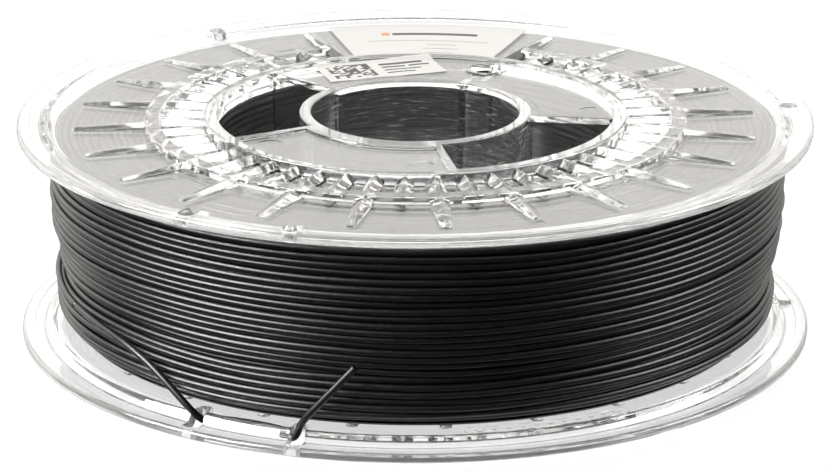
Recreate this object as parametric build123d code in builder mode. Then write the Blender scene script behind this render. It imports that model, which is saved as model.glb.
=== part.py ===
"""Filament spool: two clear moulded halves round a full winding of 1.75 mm filament.

Z is the spool's axis. The spool lies flat, its lower collars on z = 0, and the
halves meet half-way up. Angles are in degrees from +X, counter-clockwise seen
from above. Each moulding is split into plate, rim, ribs, core barrel, hub tube,
web and spokes, so that every node has a simple shape.
"""
from build123d import *
import math
import os

os.makedirs("parts", exist_ok=True)

# Overall size
FLANGE_R = 100.0
WIDTH = 57.0
MID = WIDTH / 2

# Hub tube and core barrel
BORE_R = 26.3
HUB_R = 29.2
CORE_IN_R = 50.0
CORE_OUT_R = 53.3

# Flange: a plate set back from the rim, joined to it by a sloping step
COLLAR_STAND = 1.0
PLATE_FACE = 2.8
PLATE_T = 2.5
PLATE_IN = PLATE_FACE + PLATE_T
STEP_R = 92.4
STEP_RUN = 1.5
RIM_T = 1.9
BEAD_R = 97.0
BEAD_T = 2.3
BEAD_ROUND = 0.7

# Ribs on the flange's outer face
RIB_PITCH = 7.5
RIB_START = 4.9
LOW_RING_IN_R = 64.3
LOW_RING_OUT_R = 68.2
LOW_RING_H = 1.8
RIB_JOIN_R = 66.5
SHORT_RIB_R = 68.1
LONG_RIB_R = 86.0

# Plain part of the upper plate, without ribs or ring, and the label on it
PLAIN_START = 65.2
PLAIN_END = 109.6
LABEL_START = 70.3
LABEL_END = 105.2
LABEL_IN_R = 57.0
LABEL_OUT_R = 90.4

# Web between hub and core, with two open windows
SPOKE_COUNT = 5
SPOKE_START = 64.5
SPOKE_PITCH = 360 / SPOKE_COUNT
SPOKE_T = 2.0
WINDOW_STARTS = (136.5, 280.5)
WEB_T = 2.0
PANE_DEPTH = 0.6
FRAME_R = 31.4
EYE_PLACE_R = 42.7
EYE_R = 4.2
EYE_COLLAR_R = 5.6
EYE_COLLAR_H = 0.45

# Slots in the rim that hold the filament's end, as (angle, inner radius, outer radius)
SLOTS = (
    (4.5, 92.6, 97.2),
    (124.5, 92.6, 97.2),
    (236.3, 88.2, 98.0),
    (252.7, 88.2, 98.0),
)
SLOT_W = 4.0

# Winding and filament
FILAMENT_D = 1.75
WIND_LOW_R = 87.2
WIND_LOW_H = 3.6
WIND_R = 92.2
WIND_TOP_R = 91.0
WIND_TOP_H = 1.5

# Paper labels
PAPER_T = 0.12
STICKER_L = 31.5
STICKER_W = 15.5
STICKER_X = -9.1
STICKER_Y = 39.2
STICKER_TURN = 18.5


def polar(radius, angle, height):
    """Point at a radius, angle and height."""
    turn = math.radians(angle)
    return (radius * math.cos(turn), radius * math.sin(turn), height)


def wedge(start, end, inset, reach):
    """Corners of a wedge whose sides run parallel to two radii, inset from them."""
    half = math.radians((end - start) / 2)
    middle = (start + end) / 2
    apex = Vector(polar(inset / math.sin(half), middle, 0))
    corners = [apex]
    for angle in (start, middle, end):
        corners.append(apex + Vector(polar(reach, angle, 0)))
    return [(corner.X, corner.Y) for corner in corners]


def rib_section(width, wall, ridge):
    """House-shaped rib section, standing down from the plate's outer face."""
    half = width / 2
    return [
        (-half, PLATE_FACE),
        (half, PLATE_FACE),
        (half, PLATE_FACE - wall),
        (0.0, PLATE_FACE - ridge),
        (-half, PLATE_FACE - wall),
    ]


def rib(start_r, start_section, end_r, end_section):
    """One rib along +X, lofted between its two end sections."""
    with BuildPart() as blank:
        for radius, section in ((start_r, start_section), (end_r, end_section)):
            with BuildSketch(Plane.YZ.offset(radius)):
                with BuildLine():
                    Polyline(*rib_section(*section), close=True)
                make_face()
        loft()
    return blank.part


def rib_angles(pitch, with_plain_part):
    """Angles of the ribs, left out over the plate's plain part where asked."""
    angles = []
    for index in range(round(360 / pitch)):
        angle = (RIB_START + index * pitch) % 360
        if not (with_plain_part and PLAIN_START < angle < PLAIN_END):
            angles.append(angle)
    return angles


# Rib ends as (width, wall height, ridge height)
short_rib = rib(CORE_OUT_R, (4.4, 0.8, 2.4), SHORT_RIB_R, (4.7, 0.9, 2.0))
long_rib = rib(RIB_JOIN_R, (4.6, 0.7, 1.6), LONG_RIB_R, (2.8, 0.2, 0.5))


def slot_cutters():
    """Upright obround cutters for the holes that hold the filament's end."""
    with BuildPart() as holes:
        for angle, inner_r, outer_r in SLOTS:
            with BuildSketch(Plane.XY.rotated((0, 0, angle))):
                with Locations(((inner_r + outer_r) / 2, 0)):
                    SlotOverall(outer_r - inner_r, SLOT_W)
            extrude(amount=2 * PLATE_IN)
    return holes.part


def plate(slots):
    """Lower plate: the flat ring between core and step."""
    with BuildPart() as disc:
        with BuildSketch(Plane.XY.offset(PLATE_FACE)):
            Circle(STEP_R - STEP_RUN)
            Circle(CORE_OUT_R, mode=Mode.SUBTRACT)
        extrude(amount=PLATE_T)
        add(slots, mode=Mode.SUBTRACT)
    return disc.part


def rim(slots):
    """Lower rim: sloping step, flat rim and rounded bead, round the plate's edge."""
    rim_in = COLLAR_STAND + RIM_T
    with BuildPart() as ring:
        with BuildSketch(Plane.XZ):
            with BuildLine():
                Polyline(
                    (STEP_R - STEP_RUN, PLATE_FACE),
                    (STEP_R, COLLAR_STAND),
                    (FLANGE_R - BEAD_ROUND, COLLAR_STAND),
                    (FLANGE_R, COLLAR_STAND + BEAD_ROUND),
                    (FLANGE_R, COLLAR_STAND + BEAD_T - BEAD_ROUND),
                    (FLANGE_R - BEAD_ROUND, COLLAR_STAND + BEAD_T),
                    (BEAD_R, COLLAR_STAND + BEAD_T),
                    (BEAD_R, rim_in),
                    (STEP_R + RIM_T, rim_in),
                    (STEP_R + RIM_T - STEP_RUN, PLATE_IN),
                    (STEP_R - STEP_RUN, PLATE_IN),
                    close=True,
                )
            make_face()
        revolve(axis=Axis.Z)
        add(slots, mode=Mode.SUBTRACT)
    return ring.part


def ribs(with_plain_part):
    """Lower ribs and low ring on the plate's outer face."""
    with BuildPart() as grid:
        with BuildSketch(Plane.XY.offset(PLATE_FACE - LOW_RING_H)):
            Circle(LOW_RING_OUT_R)
            Circle(LOW_RING_IN_R, mode=Mode.SUBTRACT)
            if with_plain_part:
                with BuildLine():
                    Polyline(*wedge(PLAIN_START, PLAIN_END, 0.01, 2 * FLANGE_R), close=True)
                make_face(mode=Mode.SUBTRACT)
        extrude(amount=LOW_RING_H)
        for angle in rib_angles(RIB_PITCH, with_plain_part):
            add(short_rib.rotate(Axis.Z, angle))
        for angle in rib_angles(2 * RIB_PITCH, with_plain_part):
            add(long_rib.rotate(Axis.Z, angle))
    return grid.part


def tube(outer_r, inner_r):
    """Lower half of a round tube, from its collar to the middle of the spool."""
    with BuildPart() as wall:
        with BuildSketch():
            Circle(outer_r)
            Circle(inner_r, mode=Mode.SUBTRACT)
        extrude(amount=MID)
    return wall.part


def web():
    """Lower web: framed panes between hub and core, with open windows and an eye."""
    with BuildPart() as plate:
        with BuildSketch():
            Circle(CORE_IN_R)
            Circle(HUB_R, mode=Mode.SUBTRACT)
            for start in WINDOW_STARTS:
                with BuildLine():
                    Polyline(*wedge(start, start + SPOKE_PITCH, SPOKE_T / 2, FLANGE_R), close=True)
                make_face(mode=Mode.SUBTRACT)
        extrude(amount=WEB_T)
        with BuildSketch():
            Circle(CORE_IN_R)
            Circle(FRAME_R, mode=Mode.SUBTRACT)
            for start in WINDOW_STARTS:
                with BuildLine():
                    Polyline(*wedge(start, start + SPOKE_PITCH, -SPOKE_T / 2, FLANGE_R), close=True)
                make_face(mode=Mode.SUBTRACT)
        extrude(amount=PANE_DEPTH, mode=Mode.SUBTRACT)
        eye = polar(EYE_PLACE_R, SPOKE_START, 0)
        with BuildSketch(Plane.XY.offset(PANE_DEPTH - EYE_COLLAR_H)):
            with Locations(eye):
                Circle(EYE_COLLAR_R)
        extrude(amount=EYE_COLLAR_H)
        with BuildSketch():
            with Locations(eye):
                Circle(EYE_R)
        extrude(amount=WEB_T, mode=Mode.SUBTRACT)
    return plate.part


def spokes():
    """Lower spokes: upright walls from hub to core under the web."""
    with BuildPart() as walls:
        with BuildSketch(Plane.XY.offset(WEB_T)):
            with PolarLocations(0, SPOKE_COUNT, start_angle=SPOKE_START):
                Rectangle(FLANGE_R, SPOKE_T, align=(Align.MIN, Align.CENTER))
            Circle(CORE_IN_R, mode=Mode.INTERSECT)
            Circle(HUB_R, mode=Mode.SUBTRACT)
        extrude(amount=MID - WEB_T)
    return walls.part


def keep(name, shape):
    """Label a finished piece and write it out."""
    shape.label = name
    export_step(shape, f"parts/{name}.step")


def keep_upper(name, shape):
    """Mirror a lower piece through the middle of the spool and keep it."""
    with BuildPart() as upper:
        mirror(shape, about=Plane.XY.offset(MID))
    keep(name, upper.part)


rim_slots = slot_cutters()
flange_plate = plate(rim_slots)
flange_rim = rim(rim_slots)
core_barrel = tube(CORE_OUT_R, CORE_IN_R)
hub_tube = tube(HUB_R, BORE_R)
web_panels = web()
spoke_walls = spokes()

keep("lower_plate", flange_plate)
keep("lower_rim", flange_rim)
keep("lower_ribs", ribs(with_plain_part=False))
keep("lower_core_barrel", core_barrel)
keep("lower_hub_tube", hub_tube)
keep("lower_web", web_panels)
keep("lower_spokes", spoke_walls)
keep_upper("upper_plate", flange_plate)
keep_upper("upper_rim", flange_rim)
keep_upper("upper_ribs", ribs(with_plain_part=True))
keep_upper("upper_core_barrel", core_barrel)
keep_upper("upper_hub_tube", hub_tube)
keep_upper("upper_web", web_panels)
keep_upper("upper_spokes", spoke_walls)

# Winding: one closed solid of its outer shape, between the flanges
with BuildPart() as wound_filament:
    with BuildSketch(Plane.XZ):
        with BuildLine():
            Polyline(
                (CORE_OUT_R, PLATE_IN),
                (WIND_LOW_R, PLATE_IN),
                (WIND_R, PLATE_IN + WIND_LOW_H),
                (WIND_R, WIDTH - PLATE_IN - WIND_TOP_H),
                (WIND_TOP_R, WIDTH - PLATE_IN),
                (CORE_OUT_R, WIDTH - PLATE_IN),
                close=True,
            )
        make_face()
    revolve(axis=Axis.Z)
keep("wound_filament", wound_filament.part)

# Free end of the filament: off the winding, down through one rim slot, along
# under the plate, up through the next slot, and its cut end against the winding.
# Each corner of the route is (angle, radius, height).
END_ROUTE = (
    (203.0, 93.4, 17.3),
    (208.0, 93.5, 17.3),
    (213.2, 93.6, 17.2),
    (218.6, 93.7, 17.0),
    (222.6, 93.8, 16.1),
    (227.0, 93.9, 14.0),
    (231.0, 94.0, 10.6),
    (235.4, 93.3, 6.9),
    (236.2, 91.4, 2.8),
    (238.1, 89.6, 1.4),
    (241.9, 88.8, 1.7),
    (247.0, 88.7, 1.65),
    (250.8, 89.4, 1.4),
    (252.8, 91.3, 2.8),
    (253.3, 93.1, 7.0),
    (255.4, 94.1, 11.4),
    (258.2, 93.9, 16.6),
    (261.4, 93.7, 22.2),
)
end_points = [Vector(polar(radius, angle, height)) for angle, radius, height in END_ROUTE]
end_radii = []
for before, here, after in zip(end_points, end_points[1:], end_points[2:]):
    turn = math.radians((here - before).get_angle(after - here))
    shorter = min((here - before).length, (after - here).length)
    end_radii.append(0.45 * shorter / math.tan(turn / 2))

with BuildPart() as filament_end:
    with BuildLine() as route:
        FilletPolyline(*end_points, radius=end_radii)
    with BuildSketch(Plane(origin=route.line @ 0, z_dir=route.line % 0)):
        Circle(FILAMENT_D / 2)
    sweep(transition=Transition.ROUND)
keep("filament_end", filament_end.part)

end_length = route.wire().length
section_area = math.pi * FILAMENT_D ** 2 / 4
print("filament end radii:", [round(radius, 1) for radius in end_radii])
print("filament end length:", round(end_length, 2))
print("filament end volume:", round(filament_end.part.volume, 2), round(section_area * end_length, 2))

# Label on the plain part of the upper plate
with BuildPart() as sector_label:
    with BuildSketch(Plane.XY.offset(WIDTH - PLATE_FACE)):
        Circle(LABEL_OUT_R)
        Circle(LABEL_IN_R, mode=Mode.SUBTRACT)
        with BuildLine():
            Polyline(*wedge(LABEL_START, LABEL_END, 0.01, 2 * FLANGE_R), close=True)
        make_face(mode=Mode.INTERSECT)
    extrude(amount=PAPER_T)
keep("sector_label", sector_label.part)

# Small sticker across the core's collar and the web
with BuildPart() as batch_sticker:
    with BuildSketch(Plane.XY.offset(WIDTH)):
        with Locations(Location((STICKER_X, STICKER_Y, 0), (0, 0, STICKER_TURN))):
            RectangleRounded(STICKER_L, STICKER_W, 0.6)
    extrude(amount=PAPER_T)
keep("batch_sticker", batch_sticker.part)
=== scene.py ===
import bmesh
import bpy
import math
import random
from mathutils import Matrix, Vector, noise


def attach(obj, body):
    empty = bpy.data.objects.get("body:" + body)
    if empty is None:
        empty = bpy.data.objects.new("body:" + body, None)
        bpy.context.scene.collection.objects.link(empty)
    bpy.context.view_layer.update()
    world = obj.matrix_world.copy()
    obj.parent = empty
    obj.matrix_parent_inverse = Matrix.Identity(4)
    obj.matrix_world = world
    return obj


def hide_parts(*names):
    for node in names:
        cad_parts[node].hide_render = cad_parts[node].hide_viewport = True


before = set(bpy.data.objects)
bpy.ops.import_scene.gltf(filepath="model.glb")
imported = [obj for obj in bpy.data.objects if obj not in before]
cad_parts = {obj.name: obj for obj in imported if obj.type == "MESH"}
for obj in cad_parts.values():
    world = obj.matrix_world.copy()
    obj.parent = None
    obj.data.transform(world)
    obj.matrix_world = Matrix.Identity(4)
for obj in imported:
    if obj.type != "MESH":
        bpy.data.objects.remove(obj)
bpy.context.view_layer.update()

MM = 0.001
TAU = 2 * math.pi

# ---------------------------------------------------------------- sizes, in mm
WIDTH = 57.0
MID = WIDTH / 2
PARTING_GAP = 0.03

BORE_R = 26.3
HUB_R = 29.2
CORE_IN_R = 50.0
CORE_OUT_R = 53.3
FLANGE_R = 100.0

COLLAR_STAND = 1.0
PLATE_FACE = 2.8
PLATE_IN = 5.3
STEP_R = 92.4
STEP_RUN = 1.5
RIM_T = 1.9
BEAD_R = 97.0
BEAD_T = 2.3
LOW_RING_IN_R = 64.3
LOW_RING_OUT_R = 68.2
LOW_RING_H = 1.8

RIB_PITCH = 7.5
RIB_START = 4.9
RIB_SINK = 0.5
SHORT_RIB_R = 68.1
LONG_RIB_R = 86.0
PLAIN_START = 65.2
PLAIN_END = 109.6

SPOKE_COUNT = 5
SPOKE_START = 64.5
SPOKE_PITCH = 360 / SPOKE_COUNT
SPOKE_T = 2.0
WEB_T = 2.0
PANE_DEPTH = 0.6
PANE_IN_R = 31.4
PANES = ((208.5, 280.5), (352.5, 496.5))
# Round moulding marks in the panes: (angle, distance from the axis, radius)
PANE_MARKS = ((2, 44.5, 3.2), (128, 44.5, 3.2), (217, 44.5, 3.2), (272, 44.5, 3.2))
MARK_DEPTH = 0.14
EYE_PLACE_R = 42.7
EYE_R = 4.2
EYE_COLLAR_R = 5.6
EYE_COLLAR_H = 0.45

# Rim slots: (angle, inner end, outer end)
EMPTY_SLOTS = ((4.5, 92.6, 97.2), (124.5, 92.6, 97.2))
TAIL_SLOTS = ((236.3, 88.2, 98.0), (252.7, 88.2, 98.0))
SLOTS = EMPTY_SLOTS + TAIL_SLOTS
SLOT_W = 4.0

# Raised obround frame with plain dots on the inner side of the lower flange
FRAME_START = 278.5
FRAME_END = 303.0
FRAME_MID_R = 90.4
FRAME_HALF = 1.9
FRAME_LINE = 0.3
FRAME_RISE = 0.16
DOT_COUNT = 11
DOT_R = 0.55
END_DOT_R = 1.1

FILAMENT_D = 1.75
ROUND = 480
HUB_ROUND = 240
# How far one shape reaches into another that it is joined to
JOIN = 1.2


# ------------------------------------------------------------- mesh helpers
def polar(radius, angle, height):
    """Point at a radius, an angle in degrees and a height."""
    turn = math.radians(angle)
    return (radius * math.cos(turn), radius * math.sin(turn), height)


def mesh_object(name, points, faces, mirror=False):
    """Object from points in mm; mirror turns it over about the middle of the spool."""
    if mirror:
        points = [(x, y, WIDTH - z) for x, y, z in points]
        faces = [tuple(reversed(face)) for face in faces]
    mesh = bpy.data.meshes.new(name)
    mesh.from_pydata([(x * MM, y * MM, z * MM) for x, y, z in points], [], faces)
    mesh.validate()
    mesh.update()
    thing = bpy.data.objects.new(name, mesh)
    bpy.context.scene.collection.objects.link(thing)
    return thing


def arc_corner(before, corner, after, radius, steps):
    """Points that round one corner of an outline."""
    here = Vector(corner)
    if radius <= 0:
        return [tuple(here)]
    back = Vector(before) - here
    on = Vector(after) - here
    turn = math.pi - back.angle(on)
    reach = min(radius * math.tan(turn / 2), 0.45 * min(back.length, on.length))
    start = here + back.normalized() * reach
    end = here + on.normalized() * reach
    points = []
    for step in range(steps + 1):
        t = step / steps
        curve = start * (1 - t) ** 2 + here * (2 * t * (1 - t)) + end * t ** 2
        points.append(tuple(curve))
    return points


def rounded_outline(corners, steps=4):
    """Closed outline from (a, b, radius) corners."""
    outline = []
    count = len(corners)
    for index, (a, b, radius) in enumerate(corners):
        before = corners[index - 1][:2]
        after = corners[(index + 1) % count][:2]
        outline.extend(arc_corner(before, (a, b), after, radius, steps))
    return outline


def turned_faces(size, count):
    """Faces between copies of a closed outline turned about Z."""
    faces = []
    for turn in range(count):
        here = turn * size
        there = ((turn + 1) % count) * size
        for index in range(size):
            on = (index + 1) % size
            faces.append((here + index, there + index, there + on, here + on))
    return faces


def lathe(profile, count=ROUND):
    """Points and faces of a closed (radius, height) profile turned about Z."""
    points = []
    for turn in range(count):
        angle = TAU * turn / count
        ca, sa = math.cos(angle), math.sin(angle)
        for radius, height in profile:
            points.append((radius * ca, radius * sa, height))
    return points, turned_faces(len(profile), count)


def stack(rings):
    """Points and faces of a solid through rings of equal size, capped at both ends."""
    size = len(rings[0])
    points = [point for ring in rings for point in ring]
    faces = []
    for level in range(len(rings) - 1):
        low = level * size
        high = low + size
        for index in range(size):
            on = (index + 1) % size
            faces.append((low + index, low + on, high + on, high + index))
    faces.append(tuple(range(size - 1, -1, -1)))
    last = (len(rings) - 1) * size
    faces.append(tuple(last + index for index in range(size)))
    return points, faces


def merged(shapes):
    """One list of points and faces out of several."""
    points = []
    faces = []
    for more_points, more_faces in shapes:
        shift = len(points)
        points.extend(more_points)
        faces.extend(tuple(index + shift for index in face) for face in more_faces)
    return points, faces


def sector(inner_r, outer_r, start, end, inset, height, steps=72):
    """Ring sector at a height, with sides parallel to the radii at start and end."""
    ring = []
    for radius, forward in ((outer_r, True), (inner_r, False)):
        lean = math.degrees(math.asin(inset / radius))
        first, last = start + lean, end - lean
        for step in range(steps + 1):
            t = step / steps
            angle = first + (last - first) * (t if forward else 1 - t)
            ring.append(polar(radius, angle, height))
    return ring


def disc_ring(centre, radius, height, steps=48):
    """Circle at a height."""
    ring = []
    for step in range(steps):
        turn = TAU * step / steps
        ring.append((centre[0] + radius * math.cos(turn), centre[1] + radius * math.sin(turn), height))
    return ring


def obround(angle, inner_r, outer_r, width, height, grow=0.0, steps=12):
    """Obround along a radius, at a height."""
    half = width / 2 + grow
    ends = (outer_r - width / 2, inner_r + width / 2)
    ring = []
    for which, radius in enumerate(ends):
        for step in range(steps + 1):
            lean = -math.pi / 2 + math.pi * step / steps + math.pi * which
            ring.append((radius + half * math.cos(lean), half * math.sin(lean)))
    turn = math.radians(angle)
    ca, sa = math.cos(turn), math.sin(turn)
    return [(x * ca - y * sa, x * sa + y * ca, height) for x, y in ring]


def combine(base, shapes, operation, mirror):
    """Joins shapes to a solid, or cuts them from it; the shapes of one call don't overlap."""
    tool = mesh_object("tool", *merged(shapes), mirror)
    step = base.modifiers.new("combine", "BOOLEAN")
    step.operation = operation
    step.solver = "MANIFOLD"
    step.object = tool
    bpy.context.view_layer.update()
    solid = bpy.data.meshes.new_from_object(base.evaluated_get(bpy.context.evaluated_depsgraph_get()))
    base.modifiers.clear()
    old = base.data
    base.data = solid
    bpy.data.meshes.remove(old)
    bpy.data.objects.remove(tool)


# ---------------------------------------------------------------- mouldings
# Outlines of the lower half: (radius, height, corner radius)
FLANGE_PROFILE = (
    (CORE_IN_R, 0.0, 0.3),
    (CORE_OUT_R, 0.0, 0.5),
    (CORE_OUT_R, PLATE_FACE, 1.3),
    (STEP_R - STEP_RUN, PLATE_FACE, 1.2),
    (STEP_R, COLLAR_STAND, 1.2),
    (FLANGE_R, COLLAR_STAND, 1.1),
    (FLANGE_R, COLLAR_STAND + BEAD_T, 1.1),
    (BEAD_R, COLLAR_STAND + BEAD_T, 0.35),
    (BEAD_R, COLLAR_STAND + RIM_T, 0.15),
    (STEP_R + RIM_T, COLLAR_STAND + RIM_T, 1.2),
    (STEP_R + RIM_T - STEP_RUN, PLATE_IN, 1.2),
    (CORE_OUT_R, PLATE_IN, 0.3),
    (CORE_OUT_R, MID - PARTING_GAP, 0.05),
    (CORE_IN_R, MID - PARTING_GAP, 0.05),
)
HUB_PROFILE = (
    (BORE_R, 0.0, 0.4),
    (HUB_R, 0.0, 0.4),
    (HUB_R, MID - PARTING_GAP, 0.05),
    (BORE_R, MID - PARTING_GAP, 0.05),
)
# Rib sections as (radius, width, wall height, ridge height)
RIB_STATIONS = ((CORE_OUT_R - 0.6, 4.4, 0.8, 2.4), (SHORT_RIB_R, 4.7, 0.9, 2.0))
LONG_STATIONS = (
    (LOW_RING_OUT_R + 0.15, 4.55, 0.68, 1.55),
    (LONG_RIB_R - 0.6, 2.85, 0.2, 0.52),
    (LONG_RIB_R, 2.3, 0.08, 0.2),
)
RIB_EDGE = 0.12


def rib(angle, is_long):
    """House-shaped rib with a softened ridge."""
    stations = RIB_STATIONS + (LONG_STATIONS if is_long else ())
    turn = math.radians(angle)
    ca, sa = math.cos(turn), math.sin(turn)
    rings = []
    for radius, width, wall, ridge in stations:
        half = width / 2
        base = PLATE_FACE + RIB_SINK
        soft = 0.1 * width
        slope = (ridge - wall) / half
        wall_z = PLATE_FACE - wall
        ridge_z = PLATE_FACE - ridge
        section = (
            (-half, base),
            (-half, wall_z + 0.1),
            (-half + RIB_EDGE, wall_z - RIB_EDGE * slope),
            (-soft, ridge_z + soft * slope),
            (-soft * 0.4, ridge_z + soft * slope * 0.5),
            (soft * 0.4, ridge_z + soft * slope * 0.5),
            (soft, ridge_z + soft * slope),
            (half - RIB_EDGE, wall_z - RIB_EDGE * slope),
            (half, wall_z + 0.1),
            (half, base),
        )
        rings.append([(radius * ca - y * sa, radius * sa + y * ca, z) for y, z in section])
    return stack(rings)


def low_ring(upper):
    """Low ring that ties the ribs; the upper one is open over the plate's plain part."""
    top = PLATE_FACE - LOW_RING_H
    if not upper:
        return lathe(rounded_outline((
            (LOW_RING_IN_R, PLATE_FACE + RIB_SINK, 0),
            (LOW_RING_IN_R, top, 0.35),
            (LOW_RING_OUT_R, top, 0.35),
            (LOW_RING_OUT_R, PLATE_FACE + RIB_SINK, 0),
        )))
    rings = []
    for height, back in ((top, 0.3), (top + 0.1, 0.1), (top + 0.3, 0.0), (PLATE_FACE + RIB_SINK, 0.0)):
        inner_r, outer_r = LOW_RING_IN_R + back, LOW_RING_OUT_R - back
        rings.append(sector(inner_r, outer_r, PLAIN_END, PLAIN_START + 360, 0.01, height, 420))
    return stack(rings)


def web_plates():
    """The two framed plates between hub and core, with softened outer edges."""
    plates = []
    for start, end in PANES:
        rings = []
        for height, back in ((0.02, 0.2), (0.08, 0.08), (0.22, 0.0), (WEB_T, 0.0)):
            rings.append(sector(HUB_R - JOIN, CORE_IN_R + JOIN, start, end, -SPOKE_T / 2 + back, height))
        plates.append(stack(rings))
    return plates


def recesses():
    """Cutters for the pane recesses and the rim slots."""
    shapes = []
    pane_steps = ((-1.0, -0.16), (0.1, -0.12), (0.25, 0.0), (PANE_DEPTH - 0.12, 0.0), (PANE_DEPTH, 0.15))
    slot_steps = ((-1.0, 0.25), (COLLAR_STAND, 0.22), (COLLAR_STAND + 0.2, 0.0), (8.0, 0.0))
    for start, end in PANES:
        rings = []
        for height, back in pane_steps:
            rings.append(sector(PANE_IN_R + back, CORE_IN_R - back, start, end, SPOKE_T / 2 + back, height))
        shapes.append(stack(rings))
    for angle, inner_r, outer_r in SLOTS:
        rings = [obround(angle, inner_r, outer_r, SLOT_W, height, grow) for height, grow in slot_steps]
        shapes.append(stack(rings))
    return shapes


def spoke_walls():
    """Upright walls from hub to core."""
    walls = []
    half = SPOKE_T / 2 - 0.01
    inner, outer = HUB_R - JOIN, CORE_IN_R + JOIN
    outline = ((inner, -half), (outer, -half), (outer, half), (inner, half))
    for index in range(SPOKE_COUNT):
        turn = math.radians(SPOKE_START + index * SPOKE_PITCH)
        ca, sa = math.cos(turn), math.sin(turn)
        rings = []
        for height in (WEB_T - 0.5, MID - PARTING_GAP):
            rings.append([(x * ca - y * sa, x * sa + y * ca, height) for x, y in outline])
        walls.append(stack(rings))
    return walls


def pane_marks():
    """Shallow round marks in the bottoms of the panes."""
    marks = []
    for angle, place_r, mark_r in PANE_MARKS:
        centre = polar(place_r, angle, 0)
        marks.append(stack([
            disc_ring(centre, mark_r, PANE_DEPTH - 0.3),
            disc_ring(centre, mark_r, PANE_DEPTH + MARK_DEPTH - 0.04),
            disc_ring(centre, mark_r - 0.1, PANE_DEPTH + MARK_DEPTH),
        ]))
    return marks


def curved_obround(half, height, steps=40, end_steps=12):
    """Outline of the dots' frame, which follows the rim, at a height."""
    ring = []
    for start, end, sign in ((FRAME_START, FRAME_END, 1), (FRAME_END, FRAME_START, -1)):
        for step in range(steps + 1):
            ring.append(polar(FRAME_MID_R + sign * half, start + (end - start) * step / steps, height))
        for step in range(1, end_steps):
            lean = math.pi * step / end_steps
            radius = FRAME_MID_R + sign * half * math.cos(lean)
            ring.append(polar(radius, end + sign * math.degrees(half * math.sin(lean) / FRAME_MID_R), height))
    return ring


def add_dot_frame(half):
    """Raised line round a row of plain dots, the two end ones larger."""
    top = PLATE_IN + FRAME_RISE
    steps = ((PLATE_IN - 0.3, 0.0), (top - 0.05, 0.0), (top, 0.06))
    outside = [curved_obround(FRAME_HALF - back, height) for height, back in steps]
    inside = [curved_obround(FRAME_HALF - FRAME_LINE, height) for height in (PLATE_IN + 0.01, 8.0)]
    combine(half, [stack(outside)], "UNION", False)
    combine(half, [stack(inside)], "DIFFERENCE", False)
    dots = []
    steps = ((PLATE_IN - 0.3, 0.0), (top - 0.05, 0.0), (top, 0.08))
    for index in range(DOT_COUNT):
        angle = FRAME_START + (FRAME_END - FRAME_START) * (index + 0.5) / DOT_COUNT
        centre = polar(FRAME_MID_R, angle, 0)
        dot_r = END_DOT_R if index in (0, DOT_COUNT - 1) else DOT_R
        dots.append(stack([disc_ring(centre, dot_r - back, height, 24) for height, back in steps]))
    combine(half, dots, "UNION", False)


def add_eye(half, upper):
    """Round eye through the web, with a low collar round it."""
    eye = polar(EYE_PLACE_R, SPOKE_START, 0)
    top = PANE_DEPTH - EYE_COLLAR_H
    collar = ((EYE_COLLAR_R - 0.2, top), (EYE_COLLAR_R, top + 0.2), (EYE_COLLAR_R, PANE_DEPTH + 0.3))
    hole = ((EYE_R + 0.3, -1.0), (EYE_R + 0.2, top), (EYE_R, top + 0.2), (EYE_R, 4.0))
    combine(half, [stack([disc_ring(eye, radius, height) for radius, height in collar])], "UNION", upper)
    combine(half, [stack([disc_ring(eye, radius, height) for radius, height in hole])], "DIFFERENCE", upper)


def moulding(name, upper):
    """One moulded half: flange, core barrel, hub tube, web, spokes and ribs in one."""
    half = mesh_object(name, *lathe(rounded_outline(FLANGE_PROFILE)), upper)
    combine(half, [lathe(rounded_outline(HUB_PROFILE), HUB_ROUND)], "UNION", upper)
    combine(half, web_plates(), "UNION", upper)
    combine(half, spoke_walls(), "UNION", upper)
    combine(half, [low_ring(upper)], "UNION", upper)
    ribs = []
    for index in range(round(360 / RIB_PITCH)):
        angle = RIB_START + index * RIB_PITCH
        if not (upper and PLAIN_START < angle < PLAIN_END):
            ribs.append(rib(angle, index % 2 == 0))
    combine(half, ribs, "UNION", upper)
    combine(half, recesses(), "DIFFERENCE", upper)
    combine(half, pane_marks(), "DIFFERENCE", upper)
    if not upper:
        add_dot_frame(half)
    add_eye(half, upper)
    half.data.shade_smooth()
    half.data.set_sharp_from_angle(angle=math.radians(32))
    soften = half.modifiers.new("weighted", "WEIGHTED_NORMAL")
    soften.keep_sharp = True
    soften.weight = 80
    return half


# ------------------------------------------------------------------ filament
def table_at(table, x):
    """Smooth value from (x, y) pairs in rising order."""
    if x <= table[0][0]:
        return table[0][1]
    for (x0, y0), (x1, y1) in zip(table, table[1:]):
        if x <= x1:
            t = (x - x0) / (x1 - x0)
            t = t * t * (3 - 2 * t)
            return y0 + (y1 - y0) * t
    return table[-1][1]


# Outside radius of the winding against height, on its left and right sides
LEFT_SIDE = (
    (6.2, 87.0), (9.4, 90.8), (13.0, 91.3), (20.5, 89.8),
    (27.0, 90.9), (33.0, 91.9), (38.0, 92.2), (51.0, 92.0),
)
RIGHT_SIDE = (
    (6.2, 87.0), (9.4, 91.0), (14.0, 91.4), (19.5, 90.1),
    (24.0, 92.2), (33.0, 93.3), (42.0, 93.8), (51.0, 93.3),
)
TURN_START = 6.3
TURN_END = 50.6
TURNS = 25
TURN_PITCH = (TURN_END - TURN_START) / TURNS


def winding_r(angle, height):
    """Outside radius of the winding at an angle and height."""
    lean = 0.5 + 0.5 * math.cos(math.radians(angle))
    return table_at(LEFT_SIDE, height) * (1 - lean) + table_at(RIGHT_SIDE, height) * lean


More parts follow.
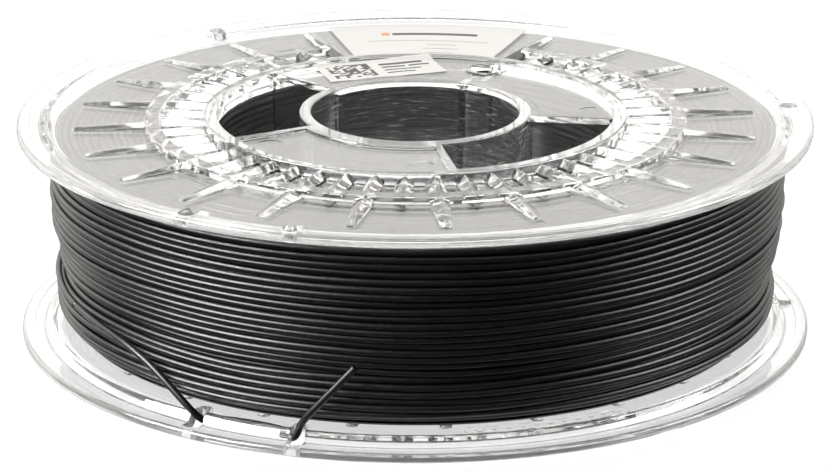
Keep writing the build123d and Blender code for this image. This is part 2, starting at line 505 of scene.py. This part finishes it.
def tube_mesh(centres, radius, sides):
    """Round tube through centre points that circle the Z axis."""
    points = []
    faces = []
    for centre in centres:
        out = Vector((centre[0], centre[1], 0)).normalized()
        for side in range(sides):
            angle = TAU * side / sides
            points.append((
                centre[0] + out.x * radius * math.cos(angle),
                centre[1] + out.y * radius * math.cos(angle),
                centre[2] + radius * math.sin(angle),
            ))
    for ring in range(len(centres) - 1):
        for side in range(sides):
            on = (side + 1) % sides
            low = ring * sides
            faces.append((low + side, low + sides + side, low + sides + on, low + on))
    faces.append(tuple(range(sides)))
    last = (len(centres) - 1) * sides
    faces.append(tuple(last + side for side in range(sides - 1, -1, -1)))
    return points, faces


# Strand that leaves the layers and lies across them up to the free end: (angle, depth, height)
CROSSING = (
    (118, 1.5, 19.8), (135, 0.2, 19.4), (150, -0.7, 18.9),
    (168, -1.05, 18.4), (186, -1.05, 17.8), (203, -1.05, 17.3),
)
CROSSING_STEPS = 90


def crossing():
    """Centres of the crossing strand."""
    depths = [(angle, depth) for angle, depth, _ in CROSSING]
    heights = [(angle, height) for angle, _, height in CROSSING]
    first, last = CROSSING[0][0], CROSSING[-1][0]
    centres = []
    for step in range(CROSSING_STEPS + 1):
        angle = first + (last - first) * step / CROSSING_STEPS
        height = table_at(heights, angle)
        radius = winding_r(angle, height) - FILAMENT_D / 2 - table_at(depths, angle)
        centres.append(polar(radius, angle, height))
    return centres


OUTER_STEPS = 220
SINK_MAX = 0.95
UNDER_STEPS = 120
UNDER_DEPTH = 2.3


def outer_sink(turn):
    """Depth of the outermost strand below the winding's outside, after a number of turns."""
    angle = TAU * (turn % 1)
    around = Vector((math.cos(angle) * 0.9, math.sin(angle) * 0.9, turn * 1.7))
    return SINK_MAX * min(1.0, max(0.0, 0.42 + 1.5 * noise.noise(around)))


def outer_slack(turn):
    """Weight of the open gap above the strand, nothing for most of its way."""
    angle = TAU * (turn % 1)
    around = Vector((math.cos(angle) * 1.3 + 9, math.sin(angle) * 1.3, turn * 1.3))
    return 0.02 + max(0.0, noise.noise(around)) ** 2.5


def outer_heights(sinks):
    """Heights of the outermost strand, where each turn rests on the one below it."""
    steps = OUTER_STEPS
    last = (TURNS - 1) * steps
    rises = []
    for index in range(last + 1):
        side = sinks[index + steps] - sinks[index]
        rises.append(math.sqrt(FILAMENT_D ** 2 - side ** 2) * 0.985)
    slacks = [outer_slack(index / steps) for index in range(last + 1)]
    spare = (TURN_END - TURN_START) * last - sum(rises) * TURNS
    share = spare / (sum(slacks) * TURNS)
    gaps = [rise + slack * share for rise, slack in zip(rises, slacks)]
    heights = [TURN_START + gaps[0] * index / steps for index in range(steps)]
    for index in range(last + 1):
        heights.append(heights[index] + gaps[index])
    drift = heights[TURNS * steps] - heights[last] - TURN_PITCH
    level = []
    for index in range(steps + 1):
        t = index / steps
        level.append(TURN_END - TURN_PITCH * (1 - t) - heights[last + index] + drift * t)
    for index in range(TURNS * steps + 1):
        heights[index] += level[index % steps] * index / (TURNS * steps)
    return heights


def winding_side():
    """The outermost layer, as one long helix, over a second layer behind it."""
    sinks = [outer_sink(index / OUTER_STEPS) for index in range(TURNS * OUTER_STEPS + 1)]
    outer = []
    for index, height in enumerate(outer_heights(sinks)):
        angle = 360 * (index % OUTER_STEPS) / OUTER_STEPS
        outer.append(polar(winding_r(angle, height) - FILAMENT_D / 2 - sinks[index], angle, height))
    shapes = [tube_mesh(outer, FILAMENT_D / 2, 12)]
    under = []
    for step in range(TURNS * UNDER_STEPS + 1):
        turn = step / UNDER_STEPS
        angle = (turn % 1) * 360
        height = TURN_END - (TURN_END - TURN_START) * turn / TURNS
        radius = winding_r(angle, height) - 0.5 * FILAMENT_D - UNDER_DEPTH
        under.append(polar(radius, -angle, height))
    shapes.append(tube_mesh(under[::-1], FILAMENT_D / 2, 8))
    shapes.append(tube_mesh(crossing(), FILAMENT_D / 2, 12))
    side = mesh_object("winding_side", *merged(shapes))
    side.data.shade_smooth()
    return side


# Ends and inside of the winding, where each layer's turns show as rings
FACES_IN_R = CORE_OUT_R + 0.12
FACES_OUT_R = 86.0
FACES_LOW = PLATE_IN + 0.12
FACES_HIGH = WIDTH - PLATE_IN - 0.12
RING_PITCH = 1.77
LOW_RINGS = 19
HIGH_RINGS = 21
INNER_TURNS = 26
BUMP_STEPS = 4
BUMP_SHARE = 0.86
FACES_ROUND = 288
FACES_SEED = 5


def bump(centre, direction):
    """Outline of half a strand that stands out in a direction."""
    arc = []
    for step in range(BUMP_STEPS + 1):
        lean = math.pi * (step / BUMP_STEPS - 0.5) * BUMP_SHARE
        out = Vector(direction) * math.cos(lean) * FILAMENT_D / 2
        along = Vector((-direction[1], direction[0])) * math.sin(lean) * FILAMENT_D / 2
        arc.append((centre[0] + out.x + along.x, centre[1] + out.y + along.y))
    return arc


def winding_faces():
    """Ends and inside of the winding as one closed sheet of rings."""
    rng = random.Random(FACES_SEED)
    half = FILAMENT_D / 2
    inner_pitch = (FACES_HIGH - FACES_LOW) / INNER_TURNS
    rows = []
    for index in range(LOW_RINGS):
        sink = rng.uniform(0.0, 0.22)
        rows.append(((FACES_IN_R + half + RING_PITCH * index, FACES_LOW + half + sink), (0, -1)))
    rows.append(((FACES_OUT_R - half, FACES_LOW + 2.6), (1, 0)))
    rows.append(((FACES_OUT_R - half, FACES_HIGH - 2.6), (1, 0)))
    for index in range(HIGH_RINGS - 1, -1, -1):
        sink = rng.uniform(0.0, 0.22)
        rows.append(((FACES_IN_R + half + RING_PITCH * index, FACES_HIGH - half - sink), (0, 1)))
    for index in range(INNER_TURNS - 1, -1, -1):
        sink = rng.uniform(0.0, 0.15)
        rows.append(((FACES_IN_R + half + sink, FACES_LOW + inner_pitch * (index + 0.5)), (-1, 0)))
    profile = []
    for centre, direction in rows:
        profile.extend(bump(centre, direction))
    points = []
    for turn in range(FACES_ROUND):
        angle = TAU * turn / FACES_ROUND
        ca, sa = math.cos(angle), math.sin(angle)
        for index, (radius, height) in enumerate(profile):
            row = index // (BUMP_STEPS + 1)
            sway = 0.16 * math.sin(angle + row * 0.9) + 0.1 * math.sin(2 * angle + row * 2.3)
            if radius < FACES_IN_R + FILAMENT_D:
                points.append((radius * ca, radius * sa, height + sway * 0.6))
            else:
                points.append(((radius + sway) * ca, (radius + sway) * sa, height))
    ends = mesh_object("winding_ends", points, turned_faces(len(profile), FACES_ROUND))
    ends.data.shade_smooth()
    ends.data.set_sharp_from_angle(angle=math.radians(60))
    return ends


# -------------------------------------------------------------------- paper
LABEL_START = 70.3
LABEL_END = 105.2
LABEL_IN_R = 57.0
LABEL_OUT_R = 90.4
LABEL_Z = WIDTH - PLATE_FACE
PAPER_T = 0.1
INK_LIFT = 0.015
# Plain printed bars on the label: (start angle, end angle, inner radius, outer radius, ink)
LABEL_BARS = (
    (95.0, 96.5, 79.4, 82.2, 2),
    (78.0, 94.4, 79.8, 81.8, 1),
    (74.6, 99.8, 73.9, 74.7, 3),
    (81.0, 87.5, 70.0, 70.7, 3),
    (80.0, 88.5, 66.2, 66.9, 3),
    (81.0, 87.5, 62.4, 63.1, 3),
)
STICKER_L = 31.5
STICKER_W = 15.5
STICKER_X = -9.1
STICKER_Y = 39.2
STICKER_TURN = 18.5
STICKER_LIFT = 0.04
STICKER_RIPPLE = 0.03
# Rise of the sticker from the pane onto the core's collar: (distance from the axis, rise)
STICKER_CLIMB = ((46.6, 0.0), (50.2, PANE_DEPTH))
CODE_CELLS = 12
CODE_CELL = 0.95
CODE_MARGIN = 2.2
CODE_SEED = 11
# Plain printed bars on the sticker: (left, right, bottom, top) from its middle
STICKER_BARS = (
    (0.6, 12.4, 2.6, 4.2),
    (0.6, 7.0, 0.2, 1.3),
    (8.0, 13.6, 0.2, 1.3),
    (0.6, 10.6, -2.2, -1.4),
    (0.6, 8.4, -4.6, -3.8),
)


def add_faces(thing, points, faces, index):
    """Adds a sheet of faces with one material to a piece's mesh."""
    mesh = bmesh.new()
    mesh.from_mesh(thing.data)
    corners = [mesh.verts.new((x * MM, y * MM, z * MM)) for x, y, z in points]
    for face in faces:
        made = mesh.faces.new([corners[corner] for corner in face])
        made.material_index = index
    mesh.to_mesh(thing.data)
    mesh.free()


def sheet_patch(surface, box, steps):
    """Small solid patch that follows a surface over a box of its two coordinates."""
    low_a, high_a, low_b, high_b = box
    count_a, count_b = steps
    points = []
    faces = []
    for lift in (0.0, 1.0):
        for row in range(count_b + 1):
            for column in range(count_a + 1):
                a = low_a + (high_a - low_a) * column / count_a
                b = low_b + (high_b - low_b) * row / count_b
                points.append(surface(a, b, lift))
    wide = count_a + 1
    level = wide * (count_b + 1)
    for row in range(count_b):
        for column in range(count_a):
            low = row * wide + column
            faces.append((low, low + wide, low + wide + 1, low + 1))
            faces.append((level + low, level + low + 1, level + low + wide + 1, level + low + wide))
    edge = list(range(count_a))
    edge += [row * wide + count_a for row in range(count_b)]
    edge += [count_b * wide + column for column in range(count_a, 0, -1)]
    edge += [row * wide for row in range(count_b, 0, -1)]
    for here, on in zip(edge, edge[1:] + edge[:1]):
        faces.append((here, on, level + on, level + here))
    return points, faces


def label_surface(base, thickness):
    """Surface of the label: angle and radius to a point, at the sheet's bottom or top."""
    def place(angle, radius, lift):
        return polar(radius, LABEL_START + LABEL_END - angle, base + thickness * lift)
    return place


def label_sheet():
    """Sector label lying flat on the plate, with plain printed bars."""
    sheet = sheet_patch(
        label_surface(LABEL_Z, PAPER_T), (LABEL_START, LABEL_END, LABEL_IN_R, LABEL_OUT_R), (70, 2)
    )
    piece = mesh_object("label_sheet", *sheet)
    for start, end, inner_r, outer_r, ink in LABEL_BARS:
        box = (LABEL_START + LABEL_END - end, LABEL_START + LABEL_END - start, inner_r, outer_r)
        print_on = label_surface(LABEL_Z + PAPER_T, INK_LIFT)
        steps = max(2, round((end - start) * 2))
        add_faces(piece, *sheet_patch(print_on, box, (steps, 1)), ink)
    return piece


def sticker_surface(base, thickness):
    """Surface of the sticker: it lies in the pane's recess and climbs onto the core's collar."""
    turn = math.radians(STICKER_TURN)
    ca, sa = math.cos(turn), math.sin(turn)
    low = WIDTH - PANE_DEPTH

    def place(along, across, lift):
        x = STICKER_X + along * ca - across * sa
        y = STICKER_Y + along * sa + across * ca
        ripple = STICKER_RIPPLE * math.sin(along * 0.7 + across * 0.3)
        z = low + STICKER_LIFT + ripple + table_at(STICKER_CLIMB, math.hypot(x, y)) * 0.93
        return (x, y, z + base + thickness * lift)
    return place


def sticker_sheet():
    """Small draped sticker with a random block of squares and plain printed bars."""
    half_l, half_w = STICKER_L / 2, STICKER_W / 2
    sheet = sheet_patch(sticker_surface(0.0, PAPER_T), (-half_l, half_l, -half_w, half_w), (63, 31))
    piece = mesh_object("sticker_sheet", *sheet)
    print_on = sticker_surface(PAPER_T, INK_LIFT)
    rng = random.Random(CODE_SEED)
    left = -half_l + CODE_MARGIN
    low = -CODE_CELLS * CODE_CELL / 2
    for row in range(CODE_CELLS):
        for column in range(CODE_CELLS):
            if rng.random() < 0.5:
                a = left + column * CODE_CELL
                b = low + row * CODE_CELL
                add_faces(piece, *sheet_patch(print_on, (a, a + CODE_CELL, b, b + CODE_CELL), (1, 1)), 1)
    for bar in STICKER_BARS:
        add_faces(piece, *sheet_patch(print_on, bar, (12, 1)), 1)
    return piece


# ----------------------------------------------------------------- materials
def node_tree(name):
    """New material with its nodes, links and Principled shader."""
    material = bpy.data.materials.new(name)
    material.use_nodes = True
    tree = material.node_tree
    return material, tree, tree.nodes["Principled BSDF"]


def noise_node(tree, coords, scale, detail=3.0, stretch=None):
    """Noise texture on object coordinates, optionally stretched."""
    texture = tree.nodes.new("ShaderNodeTexNoise")
    texture.inputs["Scale"].default_value = scale
    texture.inputs["Detail"].default_value = detail
    if stretch is None:
        tree.links.new(coords, texture.inputs["Vector"])
    else:
        mapping = tree.nodes.new("ShaderNodeMapping")
        mapping.inputs["Scale"].default_value = stretch
        tree.links.new(coords, mapping.inputs["Vector"])
        tree.links.new(mapping.outputs["Vector"], texture.inputs["Vector"])
    return texture


def ramp(tree, source, low, high, out_low, out_high):
    """Map one range of values onto another."""
    node = tree.nodes.new("ShaderNodeMapRange")
    node.inputs["From Min"].default_value = low
    node.inputs["From Max"].default_value = high
    node.inputs["To Min"].default_value = out_low
    node.inputs["To Max"].default_value = out_high
    tree.links.new(source, node.inputs["Value"])
    return node.outputs["Result"]


def joined(tree, operation, first, second):
    """Result of a math operation on two values."""
    node = tree.nodes.new("ShaderNodeMath")
    node.operation = operation
    tree.links.new(first, node.inputs[0])
    tree.links.new(second, node.inputs[1])
    return node.outputs["Value"]


def object_coords(tree):
    """Object coordinates of a node tree."""
    return tree.nodes.new("ShaderNodeTexCoord").outputs["Object"]


# Share of light that the clear plastic lets through
CLEAR_SHARE = 0.993
EDGE_SHARE = 0.77
# Share lost to haze on the hub tube's scratches, the spokes' roots and the empty slots
SCRATCH_HAZE = 0.3
SPOKE_HAZE = 0.08
SLOT_HAZE = 0.4
SCRATCH_STRETCH = (220, 220, 2400)
SCRATCH_RANGE = (0.61, 0.7)
# Where each of them starts and ends, in metres: distances from the axis or the slot, and heights
EDGE_WEAR = (0.0965, 0.0995)
TUBE_END = (0.0294, 0.0298)
SPOKE_ROOT = (0.0296, 0.03)
SPOKE_CLEAR = (0.031, 0.0335)
SPOKE_LOW = (0.0028, 0.0034)
SPOKE_HIGH = (0.0536, 0.0542)
SLOT_WEAR = (0.0026, 0.0034)


def vector_math(tree, operation, source, other=(0, 0, 0)):
    """Vector math node on a socket and a fixed vector."""
    node = tree.nodes.new("ShaderNodeVectorMath")
    node.operation = operation
    tree.links.new(source, node.inputs[0])
    node.inputs[1].default_value = other
    return node


def light_share(tree, coords):
    """Share of light let through: less on the rim's edge, slots, hub tube and the spokes' roots."""
    flat = vector_math(tree, "MULTIPLY", coords, (1, 1, 0)).outputs["Vector"]
    away = vector_math(tree, "LENGTH", flat).outputs["Value"]
    split = tree.nodes.new("ShaderNodeSeparateXYZ")
    tree.links.new(coords, split.inputs["Vector"])
    height = split.outputs["Z"]
    scratches = noise_node(tree, coords, 1.0, 2, SCRATCH_STRETCH).outputs["Fac"]
    scratches = ramp(tree, scratches, *SCRATCH_RANGE, 0.0, SCRATCH_HAZE)
    on_tube = joined(tree, "MULTIPLY", ramp(tree, away, *TUBE_END, 1.0, 0.0), scratches)
    above = ramp(tree, height, *SPOKE_LOW, 0.0, 1.0)
    under = ramp(tree, height, *SPOKE_HIGH, 1.0, 0.0)
    outside = ramp(tree, away, *SPOKE_ROOT, 0.0, SPOKE_HAZE)
    inside = ramp(tree, away, *SPOKE_CLEAR, 1.0, 0.0)
    between = joined(tree, "MULTIPLY", above, under)
    on_spokes = joined(tree, "MULTIPLY", between, joined(tree, "MULTIPLY", outside, inside))
    share = joined(tree, "SUBTRACT", ramp(tree, away, *EDGE_WEAR, CLEAR_SHARE, EDGE_SHARE), on_tube)
    share = joined(tree, "SUBTRACT", share, on_spokes)
    for angle, inner_r, outer_r in EMPTY_SLOTS:
        middle = [value * MM for value in polar((inner_r + outer_r) / 2, angle, 0)]
        from_slot = vector_math(tree, "DISTANCE", flat, middle).outputs["Value"]
        share = joined(tree, "SUBTRACT", share, ramp(tree, from_slot, *SLOT_WEAR, SLOT_HAZE, 0.0))
    return share


def add_bump(tree, shader, source, strength, distance):
    """Bump from a texture onto a shader."""
    bump_map = tree.nodes.new("ShaderNodeBump")
    bump_map.inputs["Strength"].default_value = strength
    bump_map.inputs["Distance"].default_value = distance
    tree.links.new(source.outputs["Fac"], bump_map.inputs["Height"])
    tree.links.new(bump_map.outputs["Normal"], shader.inputs["Normal"])


def add_tint(tree, shader, source, dark, light):
    """Base colour that varies between two colours with a texture."""
    mix = tree.nodes.new("ShaderNodeMix")
    mix.data_type = "RGBA"
    mix.inputs["A"].default_value = tuple(dark) + (1,)
    mix.inputs["B"].default_value = tuple(light) + (1,)
    tree.links.new(source.outputs["Fac"], mix.inputs["Factor"])
    tree.links.new(mix.outputs["Result"], shader.inputs["Base Color"])


def clear_plastic():
    """Clear moulded plastic with flow waves, scratches and worn edges."""
    material, tree, shader = node_tree("clear_plastic")
    coords = object_coords(tree)
    shader.inputs["Base Color"].default_value = (0.95, 0.952, 0.95, 1)
    shader.inputs["IOR"].default_value = 1.57
    tree.links.new(light_share(tree, coords), shader.inputs["Transmission Weight"])
    haze = noise_node(tree, coords, 60, 4)
    tree.links.new(ramp(tree, haze.outputs["Fac"], 0.35, 0.75, 0.015, 0.07), shader.inputs["Roughness"])
    add_bump(tree, shader, noise_node(tree, coords, 35, 2), 0.25, 0.0002)
    return material


def filament_plastic():
    """Satin black filament with fine extrusion lines."""
    material, tree, shader = node_tree("filament_black")
    coords = object_coords(tree)
    add_tint(tree, shader, noise_node(tree, coords, 90, 3), (0.0018, 0.0018, 0.0021), (0.004, 0.004, 0.0045))
    shader.inputs["Specular IOR Level"].default_value = 0.42
    grain = noise_node(tree, coords, 900, 4)
    tree.links.new(ramp(tree, grain.outputs["Fac"], 0.3, 0.7, 0.3, 0.42), shader.inputs["Roughness"])
    add_bump(tree, shader, grain, 0.2, 0.0001)
    return material


def paper(name, colour):
    """Matt label paper with faint fibres."""
    material, tree, shader = node_tree(name)
    coords = object_coords(tree)
    fibres = noise_node(tree, coords, 1800, 5)
    add_tint(tree, shader, fibres, (0.94 * c for c in colour), colour)
    tree.links.new(ramp(tree, fibres.outputs["Fac"], 0.3, 0.7, 0.45, 0.6), shader.inputs["Roughness"])
    add_bump(tree, shader, fibres, 0.15, 0.00005)
    return material


clear = clear_plastic()
black = filament_plastic()
white_paper = paper("label_white", (0.84, 0.834, 0.815))
dark_ink = paper("ink_dark", (0.05, 0.05, 0.053))
orange_ink = paper("ink_orange", (0.84, 0.36, 0.12))
pale_ink = paper("ink_pale", (0.55, 0.55, 0.54))

# -------------------------------------------------------------------- pieces
MOULDING_NODES = ("plate", "rim", "ribs", "core_barrel", "hub_tube", "web", "spokes")
for side in ("lower", "upper"):
    half = moulding(side + "_moulding", side == "upper")
    half.data.materials.clear()
    half.data.materials.append(clear)
    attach(half, "root")
    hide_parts(*[f"{side}_{part}" for part in MOULDING_NODES])

for piece in (winding_side(), winding_faces()):
    piece.data.materials.append(black)
    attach(piece, "root")
    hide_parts("wound_filament")

# Free end of the filament: angle, radius and height of each point of its route
END_ROUTE = (
    (203.0, 90.6, 17.3), (208.0, 90.9, 17.3), (213.2, 91.3, 17.2), (218.6, 92.0, 17.0),
    (222.6, 92.5, 16.1), (227.0, 93.0, 14.0), (231.0, 93.2, 10.4), (235.2, 93.2, 5.4),
    (236.2, 91.4, 2.9), (238.1, 89.6, 1.4), (241.9, 88.8, 1.7), (247.0, 88.7, 1.65),
    (250.6, 89.4, 1.4), (252.2, 91.4, 2.9), (253.2, 92.9, 7.0), (255.4, 93.7, 11.2),
    (258.2, 93.8, 16.4), (261.4, 93.7, 22.2),
)
curve = bpy.data.curves.new("filament_end_line", "CURVE")
curve.dimensions = "3D"
curve.resolution_u = 16
curve.bevel_depth = FILAMENT_D / 2 * MM
curve.bevel_resolution = 5
curve.use_fill_caps = True
spline = curve.splines.new("NURBS")
spline.points.add(len(END_ROUTE) - 1)
for point, (angle, radius, height) in zip(spline.points, END_ROUTE):
    x, y, z = polar(radius, angle, height)
    point.co = (x * MM, y * MM, z * MM, 1)
spline.order_u = 3
spline.use_endpoint_u = True
tail = bpy.data.objects.new("filament_tail", curve)
bpy.context.scene.collection.objects.link(tail)
curve.materials.append(black)
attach(tail, "root")
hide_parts("filament_end")

label = label_sheet()
sticker = sticker_sheet()
for piece, node in ((label, "sector_label"), (sticker, "batch_sticker")):
    piece.data.materials.append(white_paper)
    for colour in (dark_ink, orange_ink, pale_ink):
        piece.data.materials.append(colour)
    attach(piece, "root")
    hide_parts(node)


# --------------------------------------------------------- floor, light, camera
def stage_floor():
    """Large pale floor under the spool, with a glow of its own that keeps it white."""
    side, low = 4000, -0.05
    corners = [(-side, -side, low), (side, -side, low), (side, side, low), (-side, side, low)]
    floor = mesh_object("floor", corners, [(0, 1, 2, 3)])
    material, _, shader = node_tree("floor")
    shader.inputs["Base Color"].default_value = (0.13, 0.13, 0.132, 1)
    shader.inputs["Roughness"].default_value = 0.8
    shader.inputs["Specular IOR Level"].default_value = 0.0
    shader.inputs["Emission Color"].default_value = (1, 1, 1, 1)
    shader.inputs["Emission Strength"].default_value = 0.93
    floor.data.materials.append(material)
    floor.visible_glossy = False


def area_light(name, place, size, power):
    """Soft rectangular lamp, in metres, aimed at the spool."""
    lamp = bpy.data.lights.new(name, "AREA")
    lamp.shape = "RECTANGLE"
    lamp.size, lamp.size_y = size
    lamp.energy = power
    thing = bpy.data.objects.new(name, lamp)
    thing.location = place
    thing.rotation_euler = (-Vector(place)).to_track_quat("-Z", "Y").to_euler()
    bpy.context.scene.collection.objects.link(thing)
    return thing


def studio():
    """White tent, bright behind the spool and dark below it, with a dark gap in front of and above it."""
    world = bpy.data.worlds.new("studio")
    bpy.context.scene.world = world
    world.use_nodes = True
    tree = world.node_tree
    back = tree.nodes["Background"]
    way = tree.nodes.new("ShaderNodeTexCoord").outputs["Generated"]
    split = tree.nodes.new("ShaderNodeSeparateXYZ")
    tree.links.new(way, split.inputs["Vector"])
    x, y, z = (split.outputs[axis] for axis in "XYZ")
    gap = vector_math(tree, "DOT_PRODUCT", way, (0.2, -0.75, 0.63)).outputs["Value"]
    sides = ramp(tree, x, -0.4, 0.4, 1.1, 0.6)
    behind = ramp(tree, y, 0.3, 0.65, 0.0, 1.55)
    behind = joined(tree, "MULTIPLY", behind, ramp(tree, x, -0.7, -0.3, 2.1, 1.0))
    below = ramp(tree, z, -0.06, 0.02, 0.04, 1.0)
    below = joined(tree, "MAXIMUM", below, ramp(tree, y, 0.1, 0.6, 0.0, 0.4))
    strength = joined(tree, "MAXIMUM", sides, behind)
    strength = joined(tree, "MULTIPLY", strength, ramp(tree, gap, 0.6, 0.88, 1.0, 0.0))
    strength = joined(tree, "MULTIPLY", strength, below)
    tree.links.new(strength, back.inputs["Strength"])
    back.inputs["Color"].default_value = (1.0, 0.978, 0.935, 1)
    area_light("overhead", (0.0, 0.35, 1.4), (1.2, 0.6), 6)
    for name, place, size, power in (
        ("left", (-1.1, -0.4, 0.8), (1.0, 0.8), 75),
        ("right", (1.1, 0.05, 0.8), (0.8, 0.7), 20),
    ):
        area_light(name, place, size, power).visible_diffuse = False


stage_floor()
studio()

# In metres; the lens in millimetres
CAMERA_AT = (0.00007, -0.9618, 0.3456)
CAMERA_TO = (0.00007, 0.0, 0.02356)
CAMERA_LENS = 172.7
camera = bpy.data.cameras.new("camera")
camera.lens = CAMERA_LENS
camera.sensor_width = 36
view = bpy.data.objects.new("camera", camera)
view.location = CAMERA_AT
view.rotation_euler = (Vector(CAMERA_TO) - Vector(CAMERA_AT)).to_track_quat("-Z", "Y").to_euler()
bpy.context.scene.collection.objects.link(view)
bpy.context.scene.camera = view

scene = bpy.context.scene
scene.view_settings.view_transform = "Standard"
scene.cycles.max_bounces = 24
scene.cycles.transmission_bounces = 24
scene.cycles.glossy_bounces = 12
scene.cycles.diffuse_bounces = 4
scene.cycles.transparent_max_bounces = 12
scene.cycles.sample_clamp_indirect = 8
scene.cycles.use_denoising = True
